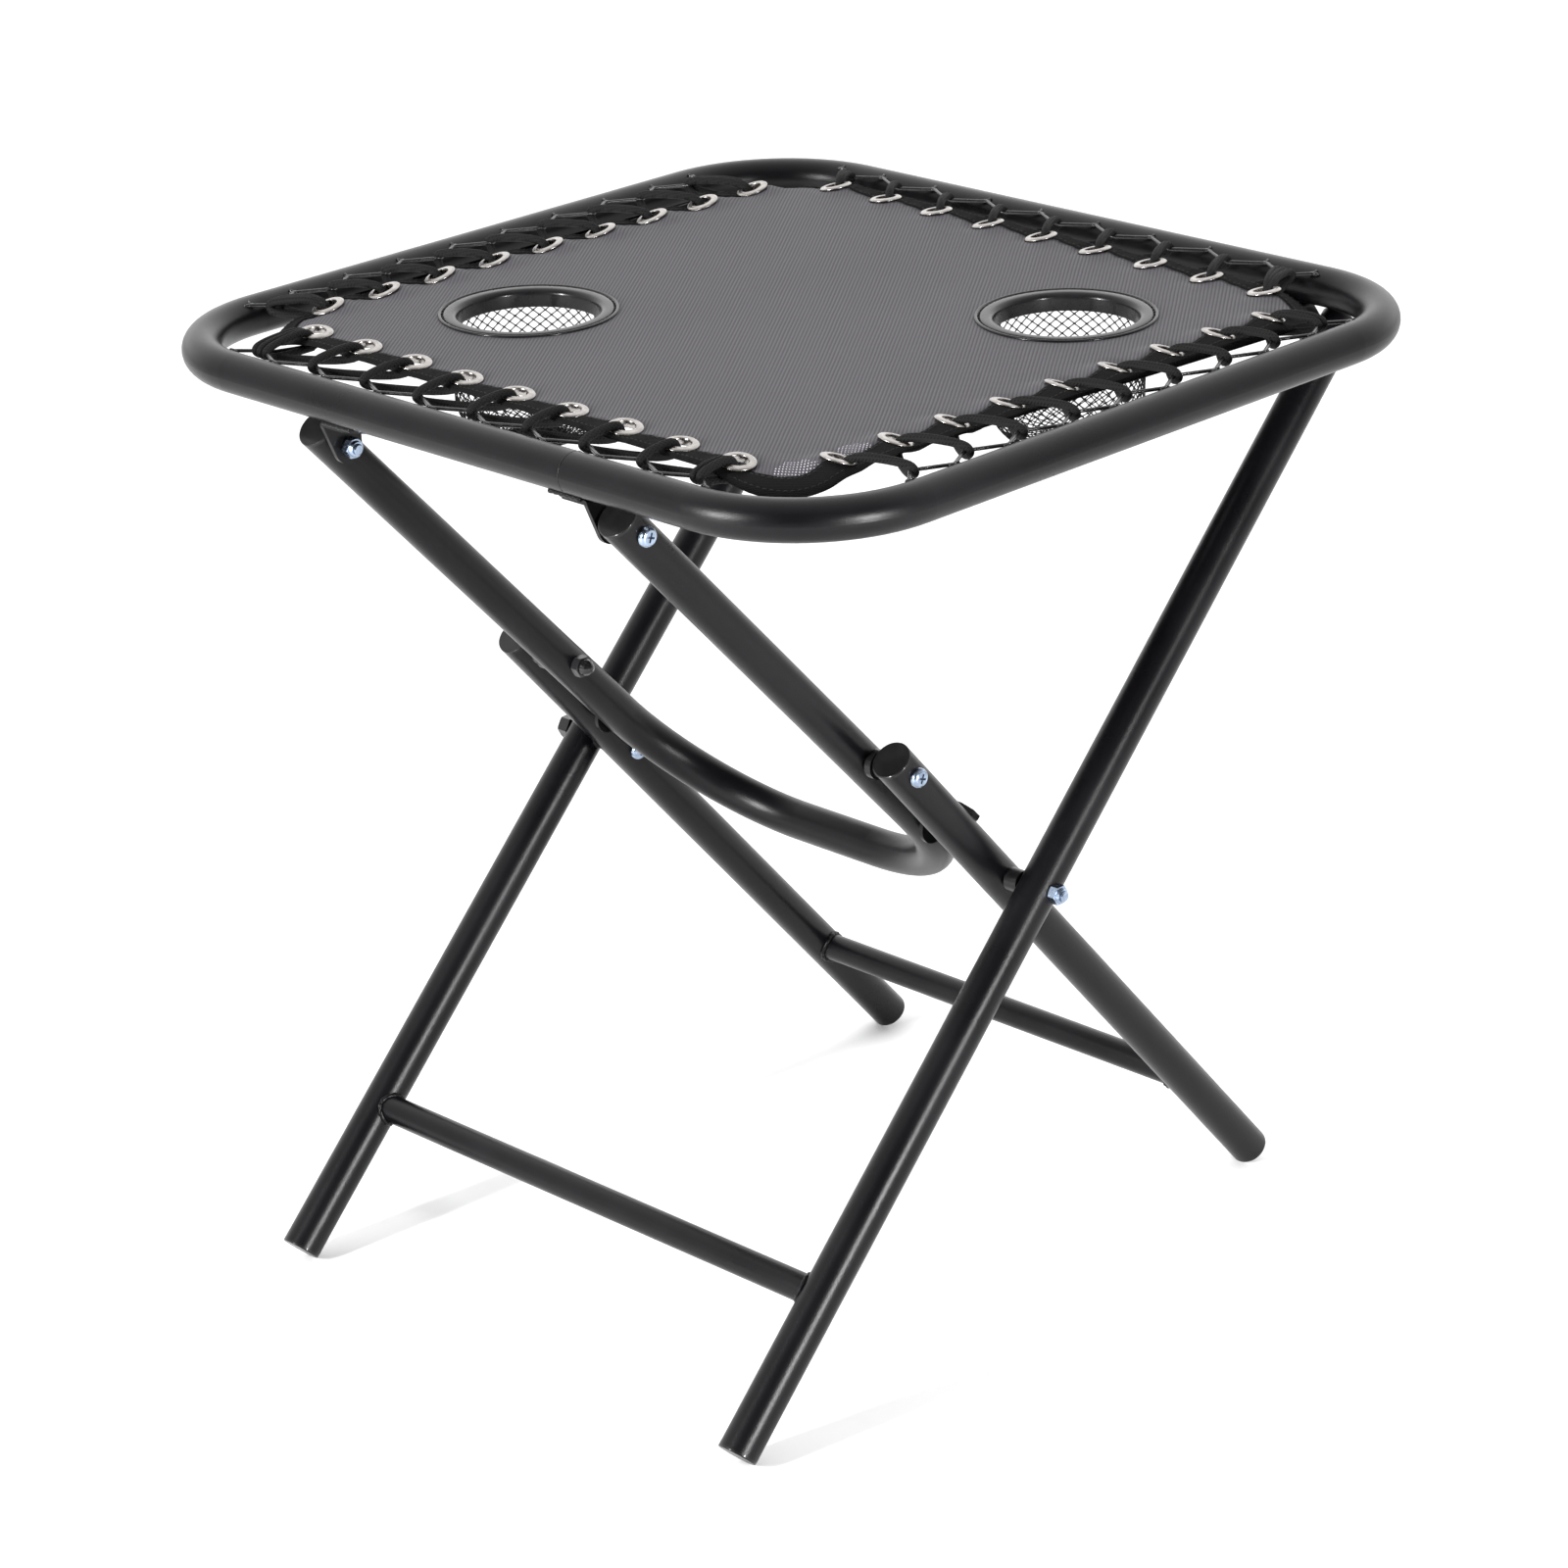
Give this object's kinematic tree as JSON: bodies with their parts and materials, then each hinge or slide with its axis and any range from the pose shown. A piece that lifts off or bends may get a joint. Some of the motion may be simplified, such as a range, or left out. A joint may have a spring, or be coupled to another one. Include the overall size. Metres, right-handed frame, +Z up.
{
  "type": "folding side table",
  "caption": "Low folding table: laced mesh top in a round-cornered tube ring, two sleeve cup holders, crossed tube legs and a U-shaped locking arm.",
  "frame": {"origin": "on the ground under the middle of the table", "axes": "+Z up, +X from the support arm's side of the top towards the outer legs' side, Y along the crossbars"},
  "size_m": [0.5103, 0.522, 0.5439],
  "materials": {
    "powder_coat": "fine-textured satin black powder coat",
    "bracket_coat": "satin black powder-coated sheet",
    "black_plastic": "moulded plug plastic, slight sheen",
    "cup_plastic": "glossy moulded plastic",
    "cap_plastic": "glossy black cap",
    "mesh_fabric": "grey woven vinyl-coated mesh",
    "binding": "black woven tape, matte",
    "net": "black knitted diamond net",
    "elastic": "black braided elastic cord",
    "wire": "glossy black coated wire",
    "nickel": "nickel-plated, polished",
    "zinc": "blue zinc plating",
    "black_steel": "black oxide",
    "nylon": "black nylon washer and spacer"
  },
  "bodies": {
    "tabletop": {"top_ring": "powder_coat", "arm_bracket_front": "bracket_coat", "arm_bracket_back": "bracket_coat", "leg_bracket_front": "bracket_coat", "leg_bracket_back": "bracket_coat", "cup_ring_left": "cup_plastic", "cup_ring_right": "cup_plastic", "fabric_panel": "mesh_fabric", "edge_binding": "binding", "cup_net_left": "net", "cup_net_right": "net", "elastic_cord_left": "elastic", "lacing_wire_left": "wire", "grommets_left": "nickel", "elastic_cord_right": "elastic", "lacing_wire_right": "wire", "grommets_right": "nickel", "elastic_cord_front": "elastic", "lacing_wire_front": "wire", "grommets_front": "nickel", "elastic_cord_back": "elastic", "lacing_wire_back": "wire", "grommets_back": "nickel", "leg_top_bolts": "zinc", "leg_top_nuts": "zinc", "arm_top_bolts": "zinc", "arm_top_nuts": "zinc", "leg_top_washers": "nylon", "arm_top_washers": "nylon"},
    "outer_legs": {"outer_leg_front": "powder_coat", "outer_leg_back": "powder_coat", "outer_crossbar": "powder_coat", "outer_foot_plugs": "black_plastic", "outer_top_plugs": "black_plastic", "leg_pivot_bolts": "zinc", "leg_pivot_spacers": "nylon", "leg_pivot_nut_front": "zinc", "leg_pivot_nut_back": "black_steel"},
    "inner_legs": {"inner_leg_front": "powder_coat", "inner_leg_back": "powder_coat", "inner_crossbar": "powder_coat", "inner_foot_plugs": "black_plastic", "inner_top_plugs": "black_plastic", "link_bolts": "zinc", "link_spacers": "nylon"},
    "support_arm": {"support_arm": "powder_coat", "arm_end_plugs": "black_plastic", "arm_stops": "bracket_coat", "link_washers": "nylon", "link_studs": "black_steel", "link_nuts": "black_steel", "link_nut_caps": "cap_plastic"}
  },
  "joints": [
    {"name": "main_fold", "type": "hinge", "parent": "tabletop", "child": "outer_legs", "pos_m": [0.24373, 0, 0.498], "axis": [0, 1, 0], "range_deg": [0, 40.7], "deforming": ["cup_net_left", "cup_net_right"]},
    {"name": "leg_scissor", "type": "hinge", "parent": "outer_legs", "child": "inner_legs", "pos_m": [-0.001, 0, 0.25], "axis": [0, 1, 0], "range_deg": [0, 81.2]},
    {"name": "arm_fold", "type": "hinge", "parent": "tabletop", "child": "support_arm", "pos_m": [-0.22774, 0, 0.498], "axis": [0, 1, 0], "range_deg": [-44.3, 0]}
  ],
  "couplings": [
    {"joint": "leg_scissor", "follows": "main_fold", "ratio": 1.9951},
    {"joint": "arm_fold", "follows": "main_fold", "ratio": -1.0884}
  ]
}
